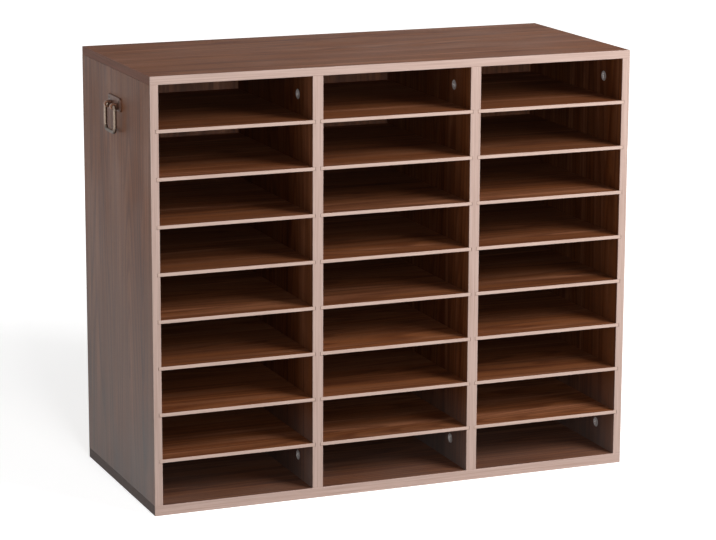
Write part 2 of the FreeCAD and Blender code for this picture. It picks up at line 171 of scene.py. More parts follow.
def melamine_board(name, grain, shift, sawn_from, least_rough, shine, painted_sheen_at_floor):
    """Walnut-print melamine on particleboard, with sawn chips behind a place on Y.

    The press plate leaves a satin face with a fine pebble, broken by pores 0.06 mm deep. A painted sheen
    greys it towards the floor, higher up on the outer faces than inside: grey mixed into the colour stands
    in for the reflection of the pale floor.
    """
    material, tree = new_material(name)
    colour, height = walnut_print(tree, grain, shift)
    aside = add(tree, "Math", {0: place_along(tree, "X")}, operation="ABSOLUTE")
    reach = add(tree, "MapRange", {"Value": aside, "From Min": outer_face - 2 * skin,
                                   "From Max": outer_face - skin, "To Min": painted_sheen_reach_inside,
                                   "To Max": painted_sheen_reach_outside})
    # Fingers and packing foam leave faint duller clouds, 80 mm across. The painted floor sheen lies in the
    # same clouds.
    clouds = add(tree, "TexNoise", {"Vector": drawn_out(tree, grain, 80 * mm, 140 * mm), "Scale": 1.0,
                                    "Detail": 3.0})
    thickness = add(tree, "MapRange", {**usual, "Value": clouds, "To Min": 0.6 * painted_sheen_at_floor,
                                       "To Max": 1.4 * painted_sheen_at_floor})
    # Painted sheen: grey is mixed in towards the floor, standing in for the pale floor's reflection.
    floor_sheen = add(tree, "MapRange", {"Value": place_along(tree, "Z"), "From Min": 0.0, "From Max": reach,
                                  "To Min": thickness, "To Max": 0.0})
    colour = add(tree, "Mix", {0: floor_sheen, 6: colour, 7: "#909090"}, data_type="RGBA")
    sawn = beyond(tree, "Y", sawn_from)
    colour = add(tree, "Mix", {0: sawn, 6: colour, 7: sawn_chips(tree)}, data_type="RGBA")
    pebble = add(tree, "TexNoise", {"Vector": drawn_out(tree, grain, 0.9 * mm, 0.9 * mm), "Scale": 1.0,
                                    "Detail": 2.0})
    height = add(tree, "Math", {0: pebble, 1: 0.25, 2: height}, operation="MULTIPLY_ADD")
    satin = add(tree, "MapRange", {**usual, "Value": clouds, "To Min": least_rough,
                                   "To Max": least_rough + 0.1})
    roughness = add(tree, "MapRange", {"Value": sawn, "To Min": satin, "To Max": 0.9})
    return finish_surface(material, colour, roughness, height, 0.06 * mm, Specular_IOR_Level=shine)


skin = 0.1 * mm
sawn_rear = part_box("top_panel")[1].y - skin
outer_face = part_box("right_side_panel")[1].x
# Heights to which the painted floor sheen reaches, inside and on the outer faces.
painted_sheen_reach_inside = 140 * mm
painted_sheen_reach_outside = 450 * mm
give_material(melamine_board("walnut_melamine_lengthways", "X", 1.3, sawn_rear, least_rough=0.7, shine=0.15,
                             painted_sheen_at_floor=0.12), ["top_panel", "bottom_panel"])


# ---------- dark bands on the panels' ends
# Strips of ABS, 1 mm thick, glued over the ends of the cut panels, their edges scraped round. The top
# panel's are red brown. The bottom panel's are painted near black: the shade along the floor is painted into
# them.
def edge_band(name, grain, shift, dark, light, roughness, shine=0.3):
    """Extruded ABS edge band: a faint printed grain along its length, and shallow marks of the scraper."""
    material, tree = new_material(name)
    grain_noise = add(tree, "TexNoise", {"Vector": drawn_out(tree, grain, 1.6 * mm, 120 * mm, shift),
                                         "Scale": 1.0, "Detail": 3.0, "Roughness": 0.6})
    colour = add(tree, "ValToRGB", {"Fac": grain_noise}, stops=[(0.32, dark), (0.66, light)])
    ripple = add(tree, "TexNoise", {"Vector": drawn_out(tree, grain, 3 * mm, 2.2 * mm, shift), "Scale": 1.0,
                                    "Detail": 1.0})
    satin = add(tree, "MapRange", {**usual, "Value": ripple, "To Min": roughness - 0.05,
                                   "To Max": roughness + 0.05})
    return finish_surface(material, colour, satin, ripple, 0.02 * mm, Specular_IOR_Level=shine)


give_material(edge_band("brown_abs_edge_band", "Y", 0.4, "#6C4433", "#825442", 0.6, shine=0.15),
              ["top_end_edge_bands"])
# Painted shade: the bottom panel's bands are darkened for the shade along the floor.
give_material(edge_band("abs_edge_band_painted_shade", "Y", 2.7, "#2E1C15", "#3C281F", 0.62),
              ["bottom_end_edge_bands"])


# ---------- sides and dividers
# The four uprights stand between the panels, of the same walnut-print board with the grain upright.
# Saw cuts in their inner faces hold the shelves. Only the sides reach the rear, where they are left sawn.
# They come from a smoother press plate than the panels, and take a stronger painted sheen of the floor's
# reflection towards the bottom.
give_material(melamine_board("walnut_melamine_upright", "Z", 4.6, sawn_rear, least_rough=0.42, shine=0.13,
                             painted_sheen_at_floor=0.45),
              ["left_side_panel", "right_side_panel", "left_divider", "right_divider"])


# ---------- pale bands on the front edges
# Strips of pale beige ABS, 1 mm thick, glued over every front edge. The uprights' bands are notched where
# the saw cuts run out.
pale_dark = "#B19589"
pale_light = "#C6ACA1"
give_material(edge_band("pale_abs_edge_band_upright", "Z", 2.2, pale_dark, pale_light, 0.45),
              ["left_side_front_edge_band", "right_side_front_edge_band",
               "left_divider_front_edge_band", "right_divider_front_edge_band"])
give_material(edge_band("pale_abs_edge_band_level", "X", 5.1, pale_dark, pale_light, 0.45),
              ["top_front_edge_band", "bottom_front_edge_band"])


# ---------- wood dowels
# Beech pins, 6 mm across and 28 mm long, glued into the uprights' ends and the panels. Flutes along them
# let the glue spread, and both ends are chamfered.
def closed_rings(rings):
    """The points and faces of a closed form: rings joined by quads, each end ring closed to its middle."""
    count, around, _ = rings.shape
    index = np.arange(count * around).reshape(count, around)
    following = np.roll(index, -1, axis=1)
    quads = np.stack([index[:-1], following[:-1], following[1:], index[1:]], axis=-1).reshape(-1, 4)
    first = np.stack([following[0], index[0], np.full(around, count * around)], axis=-1)
    last = np.stack([index[-1], following[-1], np.full(around, count * around + 1)], axis=-1)
    points = np.concatenate([rings.reshape(-1, 3), rings[:1].mean(axis=1), rings[-1:].mean(axis=1)])
    return points, quads.tolist() + first.tolist() + last.tolist()


def turned(start, axis, along, radius, around):
    """Rings about an axis: the start, plus a distance along it, plus a radius at each angle round it.

    The distances and the radii are arrays with a row for each ring, and a column for each angle or one.
    """
    axis = np.array(axis, float)
    first = np.array([axis[1], axis[2], axis[0]])
    second = np.cross(axis, first)
    angle = np.linspace(0, 2 * np.pi, around, endpoint=False)
    outward = np.cos(angle)[:, None] * first + np.sin(angle)[:, None] * second
    return np.array(start) + along[..., None] * axis + radius[..., None] * outward


def make_piece(name, forms, material, body, stands_for):
    """Join closed forms into one piece that rides on a body and stands for a node of the frame."""
    crease_from = math.radians(35)
    offset = 0
    points = []
    faces = []
    for form_points, form_faces in forms:
        points.append(form_points)
        faces += [[corner + offset for corner in face] for face in form_faces]
        offset += len(form_points)
    mesh = bpy.data.meshes.new(name)
    mesh.from_pydata(np.concatenate(points).tolist(), [], faces)
    mesh.polygons.foreach_set("use_smooth", np.ones(len(faces), bool))
    mesh.set_sharp_from_angle(angle=crease_from)
    mesh.materials.append(material)
    piece = bpy.data.objects.new(name, mesh)
    bpy.context.scene.collection.objects.link(piece)
    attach(piece, body)
    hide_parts(stands_for)


def beech_wood(name):
    """Steamed beech, moulded into rod: pale pink brown, with short dark flecks along the rod."""
    material, tree = new_material(name)
    fibre = add(tree, "TexNoise", {"Vector": drawn_out(tree, "Z", 0.8 * mm, 12 * mm), "Scale": 1.0,
                                   "Detail": 3.0})
    colour = add(tree, "ValToRGB", {"Fac": fibre}, stops=[(0.32, "#B98F68"), (0.62, "#D3AE86")])
    flecks = add(tree, "TexNoise", {"Vector": drawn_out(tree, "Z", 0.5 * mm, 2.5 * mm, 3.0), "Scale": 1.0})
    fleck = add(tree, "MapRange", {"Value": flecks, "From Min": 0.62, "From Max": 0.7, "To Max": 0.6})
    colour = add(tree, "Mix", {0: fleck, 6: colour, 7: "#8A6242"}, data_type="RGBA")
    return finish_surface(material, colour, 0.68, fibre, 0.05 * mm)


dowel_low, dowel_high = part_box("wood_dowels")
dowel_radius = 3 * mm
dowel_length = 28 * mm
dowel_chamfer = 1 * mm
dowel_end = 0.72 * dowel_radius
flute_count = 12
flute_depth = 0.35 * mm
dowel_around = 4 * flute_count
divider_middle = 122 * mm
upright_middles = [dowel_low.x + dowel_radius, -divider_middle, divider_middle, dowel_high.x - dowel_radius]
dowel_places = [dowel_low.y + dowel_radius, 0.0, dowel_high.y - dowel_radius]


def dowel(x, y, low):
    """A round rod whose radius dips by a cosine at each flute, tapered over both chamfers."""
    along = np.array([0, dowel_chamfer, dowel_length / 2, dowel_length - dowel_chamfer, dowel_length])
    taper = np.array([dowel_end, dowel_radius, dowel_radius, dowel_radius, dowel_end])
    angle = np.linspace(0, 2 * np.pi, dowel_around, endpoint=False)
    flutes = flute_depth * (1 - np.cos(flute_count * angle)) / 2
    return closed_rings(turned((x, y, low), (0, 0, 1), along[:, None],
                               taper[:, None] - flutes[None, :], dowel_around))


make_piece("fluted_dowels",
           [dowel(x, y, low) for x in upright_middles for y in dowel_places
            for low in (dowel_low.z, dowel_high.z - dowel_length)],
           beech_wood("steamed_beech"), "carcass", "wood_dowels")


# ---------- cam bolts
# Zinc-plated steel bolts. A coarse thread screws into the panel, and the head on its narrow neck reaches
# into the upright, where the cam lock catches it.
def plated_steel(name, dark, light, roughness):
    """Turned and barrel-plated steel: one tone with cloudy gloss and fine random scratches."""
    material, tree = new_material(name)
    clouds = add(tree, "TexNoise", {"Vector": drawn_out(tree, "Z", 2.5 * mm, 2.5 * mm), "Scale": 1.0,
                                    "Detail": 4.0})
    colour = add(tree, "ValToRGB", {"Fac": clouds}, stops=[(0.3, dark), (0.7, light)])
    scratch = add(tree, "TexNoise", {"Vector": drawn_out(tree, "Z", 0.25 * mm, 3 * mm), "Scale": 1.0,
                                     "Detail": 2.0})
    satin = add(tree, "MapRange", {**usual, "Value": clouds, "To Min": roughness - 0.06,
                                   "To Max": roughness + 0.06})
    return finish_surface(material, colour, satin, scratch, 0.01 * mm, Metallic=1.0)


def cross_recess(across, up, width, span, depth):
    """Depth of a cross recess at each point: full where the nearer arm's middle line is within half the
    width and the arm's reach within half the span, falling off over a soft edge."""
    edge = width / 5
    near = np.minimum(np.abs(across), np.abs(up))
    far = np.maximum(np.abs(across), np.abs(up))
    inside = np.clip((width / 2 + edge / 2 - near) / edge, 0, 1)
    reach = np.clip((span / 2 - far) / (span / 6), 0, 1)
    return depth * inside * reach


def thread_ridge(along, angle, pitch):
    """Share of a thread's full height: a triangular ridge that climbs one pitch in each turn."""
    half_foot = 0.32
    phase = (along / pitch - angle / (2 * np.pi)) % 1.0
    return np.clip(1 - np.abs(phase - 0.5) / half_foot, 0, 1)


def headed_rod(start, axis, body_along, body_radius, thread_from, thread_to, thread_depth, pitch,
               face_along, face_radius, recess, around):
    """A turned rod, from its tip to a head with a cross recess.

    Body rings have a set radius, with a helical ridge where the thread is. The ridge fades out over one
    pitch at each end. Face rings close in on the axis, and the recess sinks them into the head.
    """
    angle = np.linspace(0, 2 * np.pi, around, endpoint=False)[None, :]
    along = body_along[:, None]
    fade = np.clip(np.minimum(along - thread_from, thread_to - along) / pitch, 0, 1)
    radius = body_radius[:, None] + thread_depth * (thread_ridge(along, angle, pitch) * fade - (fade > 0))
    face_angle = np.broadcast_to(angle, (len(face_along), around))
    ring = face_radius[:, None]
    sunk = face_along[:, None] - cross_recess(ring * np.cos(face_angle), ring * np.sin(face_angle), *recess)
    rings = np.concatenate([
        turned(start, axis, np.broadcast_to(along, radius.shape), radius, around),
        turned(start, axis, sunk, np.broadcast_to(ring, sunk.shape), around)])
    return closed_rings(rings)


cam_low, cam_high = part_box("side_cam_locks")
bolt_low, bolt_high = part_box("cam_bolts")
cam_radius = 7.5 * mm
pocket_gap = 0.5 * mm
cam_places = [cam_low.y + cam_radius, cam_high.y - cam_radius]
cam_heights = [cam_low.z + cam_radius, cam_high.z - cam_radius]
bolt_head_radius = 3 * mm
bolt_head_length = 3 * mm
bolt_neck_radius = 2 * mm
bolt_point = 0.9 * mm
bolt_point_radius = 1.2 * mm
bolt_chamfer = 0.4 * mm
bolt_thread_radius = 2.5 * mm
bolt_thread_length = 8.5 * mm
bolt_thread_depth = 0.7 * mm
bolt_pitch = 2.4 * mm
# Each recess has the width of its arms, its span and its depth.
bolt_recess = (1.1 * mm, 4.4 * mm, 1.2 * mm)
bolt_length = cam_heights[0] + bolt_head_length / 2 - bolt_low.z
shoulder = bolt_length - bolt_head_length - (cam_radius + pocket_gap - bolt_head_length / 2)
steps_per_pitch = 8
corner_step = 0.01 * mm


def cam_bolt(x, y, tip, up):
    """A bolt from its thread's tip, in the panel, to its head, in the cam lock."""
    thread = np.arange(bolt_point, bolt_thread_length, bolt_pitch / steps_per_pitch)
    neck_end = bolt_length - bolt_head_length
    along = np.concatenate([[0, bolt_point], thread[1:], [
        bolt_thread_length, bolt_thread_length + corner_step, shoulder - bolt_chamfer, shoulder,
        shoulder + corner_step, neck_end, neck_end + corner_step, bolt_length - bolt_chamfer]])
    radius = np.concatenate([[bolt_point_radius], np.full(len(thread) + 1, bolt_thread_radius), [
        bolt_head_radius, bolt_head_radius, bolt_head_radius - bolt_chamfer, bolt_neck_radius,
        bolt_neck_radius, bolt_head_radius, bolt_head_radius]])
    face_radius = np.linspace(bolt_head_radius - bolt_chamfer, 0.1 * mm, 14)
    face_along = np.full(len(face_radius), bolt_length)
    return headed_rod((x, y, tip), (0, 0, up), along, radius, bolt_chamfer, bolt_thread_length + 0.2 * mm,
                      bolt_thread_depth, bolt_pitch, face_along, face_radius, bolt_recess, 24)


zinc_plate = plated_steel("zinc_plated_steel_turned", "#A9ADB2", "#CDD0D2", 0.3)
make_piece("threaded_cam_bolts",
           [cam_bolt(x, y, tip, up) for x in upright_middles for y in cam_places
            for tip, up in ((bolt_low.z, 1), (bolt_high.z, -1))],
           zinc_plate, "carcass", "cam_bolts")


# ---------- cam locks
# Die-cast zinc discs, 15 mm across, pressed into pockets in the uprights' walls. A turn of the cross
# recess draws the bolt's head in. The side that faces the panel is open for the head.
cam_chamfer = 0.5 * mm
cam_rim = 1.5 * mm
dish_depth = 0.3 * mm
head_gap = 0.2 * mm
cam_recess = (1.7 * mm, 8.4 * mm, 1.6 * mm)


def cam_lock(face, into, y, z, toward_panel, depth, bolt_depth):
    """A disc whose rim is chamfered and whose face is dished inside a raised rim, with a cross recess.

    Grid lines lie on both sides of the opening's edges. Points of the wall inside the opening move
    straight in, past the disc's middle.
    """
    opening = bolt_head_radius + head_gap
    lip = 0.02 * mm
    edge_angle = math.asin(opening / cam_radius)
    lip_angle = lip / cam_radius
    angle = np.sort(np.concatenate([
        np.linspace(-np.pi, np.pi, 48, endpoint=False),
        [edge_angle - lip_angle, edge_angle + lip_angle, -edge_angle + lip_angle, -edge_angle - lip_angle]]))
    along = np.array([0, cam_chamfer, bolt_depth - opening - lip, bolt_depth - opening + lip, bolt_depth,
                      bolt_depth + opening - lip, bolt_depth + opening + lip, depth - cam_chamfer, depth])
    along = depth - along[::-1]
    radius = np.full(len(along), cam_radius)
    radius[[0, -1]] -= cam_chamfer
    up = radius[:, None] * np.cos(angle)
    across = radius[:, None] * np.sin(angle)
    level = np.abs(along - (depth - bolt_depth)) < opening
    open_part = level[:, None] & (np.abs(angle) < edge_angle)[None, :]
    up = np.where(open_part, -bolt_head_length / 2 - head_gap, up)
    # The face: a flat rim, a short slope down, then the dish with the cross recess.
    rim_edge = cam_radius - cam_rim
    face_radius = np.concatenate([[rim_edge], np.linspace(rim_edge - dish_depth, 0.15 * mm, 22)])
    face_up = face_radius[:, None] * np.cos(angle)
    face_across = face_radius[:, None] * np.sin(angle)
    dish = np.where(face_radius < rim_edge, dish_depth, 0.0)[:, None]
    face_along = depth - dish - cross_recess(face_across, face_up, *cam_recess)
    up = np.concatenate([up, face_up])
    across = np.concatenate([across, face_across])
    along = np.concatenate([np.broadcast_to(along[:, None], (len(along), len(angle))), face_along])
    x = face + into * (depth - along)
    # Outward is -into along X. Mirroring across keeps the faces outward for both ways and both joints.
    turn = -into * toward_panel
    rings = np.stack([x, y - turn * across, z + toward_panel * up], axis=-1)
    return closed_rings(rings)


def die_cast_zinc(name):
    """Zinc, die cast and tumbled, with a chalky skin, softly mottled, with orange peel. Its near-white matt
    colour is partly the skin's pale grey and partly painted shine, which stands in for the glint of bright
    metal.
    """
    material, tree = new_material(name)
    mottle = add(tree, "TexNoise", {"Vector": drawn_out(tree, "Z", 1.8 * mm, 1.8 * mm), "Scale": 1.0,
                                    "Detail": 4.0})
    # Painted shine: the near-white colour stands in for part of the metal's glint.
    colour = add(tree, "ValToRGB", {"Fac": mottle}, stops=[(0.3, "#E8E8E8"), (0.7, "#F6F6F6")])
    peel = add(tree, "TexNoise", {"Vector": drawn_out(tree, "Z", 0.4 * mm, 0.4 * mm), "Scale": 1.0})
    satin = add(tree, "MapRange", {**usual, "Value": mottle, "To Min": 0.36, "To Max": 0.5})
    return finish_surface(material, colour, satin, peel, 0.02 * mm, Metallic=0.1)


def cam_group(faces, depth, bolt_depth):
    """Every cam lock in the walls given as a face's place and the way into its board."""
    return [cam_lock(face, into, y, z, toward_panel, depth, bolt_depth)
            for face, into in faces for y in cam_places
            for z, toward_panel in zip(cam_heights, (-1, 1))]


zinc = die_cast_zinc("zinc_die_cast_painted_shine")
side_cam_depth = 10.2 * mm
side_bolt_depth = 6 * mm
divider_cam_depth = 12.2 * mm
divider_bolt_depth = 8 * mm
side_walls = [(cam_low.x + side_cam_depth, -1), (cam_high.x - side_cam_depth, 1)]
divider_walls = [(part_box(name)[0].x, 1) for name in ("left_divider", "right_divider")]
make_piece("side_cam_discs", cam_group(side_walls, side_cam_depth, side_bolt_depth),
           zinc, "carcass", "side_cam_locks")
make_piece("divider_cam_discs", cam_group(divider_walls, divider_cam_depth, divider_bolt_depth),
           zinc, "carcass", "divider_cam_locks")


# ---------- back panel
# A sheet of 3 mm hardboard in grooves all round. Its front is printed like the boards. Its rear is bare
# and carries the mesh of the screen that the sheet was pressed on.
def printed_hardboard(name, rear):
    """Hardboard: walnut print in front, and bare brown fibre with a 2 mm screen pattern behind."""
    material, tree = new_material(name)
    colour, height = walnut_print(tree, "Z", 8.8)
    bare = beyond(tree, "Y", rear - skin)
    fibre = add(tree, "TexNoise", {"Vector": drawn_out(tree, "X", 2.5 * mm, 6 * mm), "Scale": 1.0,
                                   "Detail": 5.0, "Roughness": 0.7})
    brown = add(tree, "ValToRGB", {"Fac": fibre}, stops=[(0.3, "#6B4A30"), (0.7, "#8E6947")])
    colour = add(tree, "Mix", {0: bare, 6: colour, 7: brown}, data_type="RGBA")
    waves = [add(tree, "TexWave", {"Vector": drawn_out(tree, "X", 2 * mm, 2 * mm), "Scale": 0.314},
                 wave_type="BANDS", bands_direction=direction).outputs["Fac"] for direction in "XZ"]
    mesh_print = add(tree, "Math", {0: waves[0], 1: waves[1]}, operation="MULTIPLY")
    height = add(tree, "MapRange", {"Value": bare, "To Min": height, "To Max": mesh_print})
    roughness = add(tree, "MapRange", {"Value": bare, "To Min": 0.5, "To Max": 0.85})
    return finish_surface(material, colour, roughness, height, 0.12 * mm)


back_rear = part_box("back_panel")[1].y
give_material(printed_hardboard("hardboard_pressed_and_printed", back_rear), ["back_panel"])


# ---------- back screws
# Pan-head screws of zinc-plated steel, 3 mm across and 16 mm long, through the hardboard into the
# dividers' rear edges.
screw_low, screw_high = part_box("back_screws")
screw_radius = 1.5 * mm
screw_head_radius = 3 * mm
screw_head_height = 2 * mm
screw_pitch = 1.3 * mm
screw_thread_depth = 0.4 * mm
screw_point = 3 * mm
screw_point_radius = 0.2 * mm
screw_neck = 0.6 * mm
screw_recess = (0.8 * mm, 3.4 * mm, 1.2 * mm)


def back_screw(x, z):
    """A screw from its point to a head domed by a quarter circle."""
    length = back_rear - screw_low.y
    thread = np.arange(0.0, length - screw_neck, screw_pitch / steps_per_pitch)
    along = np.concatenate([thread, [length - screw_neck, length, length + corner_step]])
    growth = np.clip(thread / screw_point, 0, 1)
    radius = np.concatenate([screw_point_radius + (screw_radius - screw_point_radius) * growth,
                             [screw_radius, screw_radius, screw_head_radius - 0.1 * mm]])
    dome = np.linspace(0, np.pi / 2, 8)
    dome_foot = 0.05 * mm
    top_radius = screw_head_radius - screw_head_height
    dome_along = length + dome_foot + (screw_head_height - dome_foot) * np.sin(dome)
    dome_radius = top_radius + screw_head_height * np.cos(dome)
    inner = np.linspace(top_radius, 0.05 * mm, 8)[1:]
    face_along = np.concatenate([dome_along, np.full(len(inner), dome_along[-1])])
    return headed_rod((x, screw_low.y, z), (0, 1, 0), along, radius, 0.0, length - 2 * mm,
                      screw_thread_depth, screw_pitch, face_along, np.concatenate([dome_radius, inner]),
                      screw_recess, 32)


screw_heights = [screw_low.z + screw_head_radius, (screw_low.z + screw_high.z) / 2,
                 screw_high.z - screw_head_radius]
make_piece("pan_head_back_screws",
           [back_screw(x, z) for x in (-divider_middle, divider_middle) for z in screw_heights],
           zinc_plate, "carcass", "back_screws")


# ---------- shelves
# Twenty-four loose boards of 5 mm fibreboard with the walnut print on both faces. A cream band covers
# the front edge. The ends, which run in the saw cuts, and the rear edge are bare brown fibre.
cream_thickness = 0.55 * mm
share_per_row = 0.35
share_per_column = 0.69
first_share = 0.60
# Range of painted light over the boards: shelves that get more light are made brighter.
dimmest_painted_light = 0.98
brightest_painted_light = 1.35


def shelf_board(name, front, rear, pitch, end_gap, row_pitch, lowest):
    """Printed fibreboard: cream before a place on Y, bare fibre at the rear and near the dividers' middles.

    Each board's tone is painted light: its brightness stands in for the light that reaches its row and
    column. A share for each row up and one for each column across are added, and the fraction left is spread
    over the range of tones.
    """
    material, tree = new_material(name)
    colour, height = walnut_print(tree, "X", 12.4)
    raised = add(tree, "Math", {0: place_along(tree, "Z"), 1: row_pitch / 2 - lowest}, operation="ADD")
    row = add(tree, "Math", {0: raised, 1: row_pitch}, operation="SNAP")
    across = add(tree, "Math", {0: place_along(tree, "X"), 1: 1.5 * pitch}, operation="ADD")
    column = add(tree, "Math", {0: across, 1: pitch}, operation="SNAP")
    share = add(tree, "Math", {0: row, 1: share_per_row / row_pitch, 2: first_share},
                operation="MULTIPLY_ADD")
    share = add(tree, "Math", {0: column, 1: share_per_column / pitch, 2: share}, operation="MULTIPLY_ADD")
    own = add(tree, "Math", {0: share}, operation="FRACT")
    # Painted light: each board's colour is scaled by a tone that stands in for the light its row and column
    # get.
    tone = add(tree, "MapRange", {"Value": own, "To Min": dimmest_painted_light, "To Max": brightest_painted_light})
    colour = add(tree, "VectorMath", {0: colour, "Scale": tone}, operation="SCALE")
    shifted = add(tree, "Math", {0: place_along(tree, "X"), 1: pitch / 2}, operation="ADD")
    to_divider = add(tree, "Math", {0: shifted, 1: pitch / 2}, operation="PINGPONG")
    at_end = add(tree, "MapRange", {"Value": to_divider, "From Min": end_gap + 0.2 * mm,
                                    "From Max": end_gap + 0.1 * mm})
    bare = add(tree, "Math", {0: at_end, 1: beyond(tree, "Y", rear - skin)}, operation="MAXIMUM")
    fibre = add(tree, "TexNoise", {"Vector": drawn_out(tree, "X", 0.5 * mm, 1.5 * mm), "Scale": 1.0,
                                   "Detail": 3.0})
    brown = add(tree, "ValToRGB", {"Fac": fibre}, stops=[(0.3, "#8B6A4A"), (0.7, "#A98561")])
    colour = add(tree, "Mix", {0: bare, 6: colour, 7: brown}, data_type="RGBA")
    streak = add(tree, "TexNoise", {"Vector": drawn_out(tree, "X", 1.2 * mm, 60 * mm), "Scale": 1.0,
                                    "Detail": 2.0})
    cream = add(tree, "ValToRGB", {"Fac": streak}, stops=[(0.3, "#BEA295"), (0.7, "#D0B6A9")])
    board = beyond(tree, "Y", front + cream_thickness)
    colour = add(tree, "Mix", {0: board, 6: cream, 7: colour}, data_type="RGBA")
    satin = add(tree, "MapRange", {**usual, "Value": streak, "To Min": 0.62, "To Max": 0.7})
    roughness = add(tree, "MapRange", {"Value": bare, "To Min": satin, "To Max": 0.88})
    return finish_surface(material, colour, roughness, height, 0.05 * mm, Specular_IOR_Level=0.2)


shelf_names = [name for name in nodes if name.startswith("shelf_")]
shelf_low, shelf_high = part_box("shelf_middle_1")
column_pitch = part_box("shelf_right_1")[0].x - shelf_low.x
shelf_pitch = shelf_low.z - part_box("shelf_middle_2")[0].z
lowest_shelf = (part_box("shelf_middle_8")[0].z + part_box("shelf_middle_8")[1].z) / 2
give_material(shelf_board("fibreboard_printed_and_edged", shelf_low.y, shelf_high.y, column_pitch,
                          column_pitch / 2 - shelf_high.x, shelf_pitch, lowest_shelf), shelf_names)


# ---------- handle plates
# A zinc casting on each side, bronzed dark and rubbed bright on its high places. Two lugs carry the
# bail's pins. Two screws in countersunk holes hold the plate to the side.
def slab(top, bottom):
    """The points and faces of a closed form between two grids of the same size, joined round their edges."""
    rows, columns, _ = top.shape
    index = np.arange(rows * columns).reshape(rows, columns)
    under = index + rows * columns
    quads = [np.stack([index[:-1, :-1], index[1:, :-1], index[1:, 1:], index[:-1, 1:]], -1).reshape(-1, 4),
             np.stack([under[:-1, :-1], under[:-1, 1:], under[1:, 1:], under[1:, :-1]], -1).reshape(-1, 4)]
    edge = np.concatenate([index[0, :-1], index[:-1, -1], index[-1, :0:-1], index[:0:-1, 0]])
    following = np.roll(edge, -1)
    quads.append(np.stack([edge, following, following + rows * columns, edge + rows * columns], -1))
    points = np.concatenate([top.reshape(-1, 3), bottom.reshape(-1, 3)])
    return points, np.concatenate(quads).tolist()


def double_ring(grid):
    """The points and faces of a form closed both ways, like a tyre."""
    rows, columns, _ = grid.shape
    index = np.arange(rows * columns).reshape(rows, columns)
    beside = np.roll(index, -1, axis=1)
    above = np.roll(index, -1, axis=0)
    corner = np.roll(beside, -1, axis=0)
    return grid.reshape(-1, 3), np.stack([index, above, corner, beside], -1).reshape(-1, 4).tolist()


def bronzed_zinc(name, face):
    """Zinc die casting, bronzed: dark in its pits, and rubbed coppery where it stands proud."""
    material, tree = new_material(name)
    proud = add(tree, "Math", {0: place_along(tree, "X")}, operation="ABSOLUTE")
    patches = add(tree, "TexNoise", {"Vector": drawn_out(tree, "Z", 3.5 * mm, 3.5 * mm), "Scale": 1.0,
                                     "Detail": 5.0, "Roughness": 0.65})
    height = add(tree, "MapRange", {"Value": proud, "From Min": face + 1.6 * mm, "From Max": face + 12 * mm,
                                    "To Max": 0.5})
    rubbed = add(tree, "Math", {0: patches, 1: 0.9, 2: height}, operation="MULTIPLY_ADD")
    colour = add(tree, "ValToRGB", {"Fac": rubbed},
                 stops=[(0.34, "#472B1E"), (0.86, "#8E6249"), (0.56, "#6A4534")])
    pits = add(tree, "TexNoise", {"Vector": drawn_out(tree, "Z", 0.6 * mm, 0.6 * mm), "Scale": 1.0,
                                  "Detail": 2.0})
    satin = add(tree, "MapRange", {"Value": rubbed, "From Min": 0.3, "From Max": 0.8, "To Min": 0.56,
                                   "To Max": 0.4})
    return finish_surface(material, colour, satin, pits, 0.06 * mm, Metallic=0.3, Specular_IOR_Level=0.4)


plate_low, plate_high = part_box("right_handle_plate")
bail_low, bail_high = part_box("right_handle_bail")
wire_radius = (bail_high.x - bail_low.x) / 2
bail_axis_x = bail_low.x + wire_radius
bail_axis_z = bail_high.z - wire_radius
plate_thickness = 2.2 * mm
plate_corner = 4 * mm
plate_rim = 0.9 * mm
hole_place_y = 22.5 * mm
flat_head_radius = 3.4 * mm
hole_place_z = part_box("right_handle_screws")[1].z - flat_head_radius
hole_radius = 3.55 * mm
hole_step = 0.5 * mm


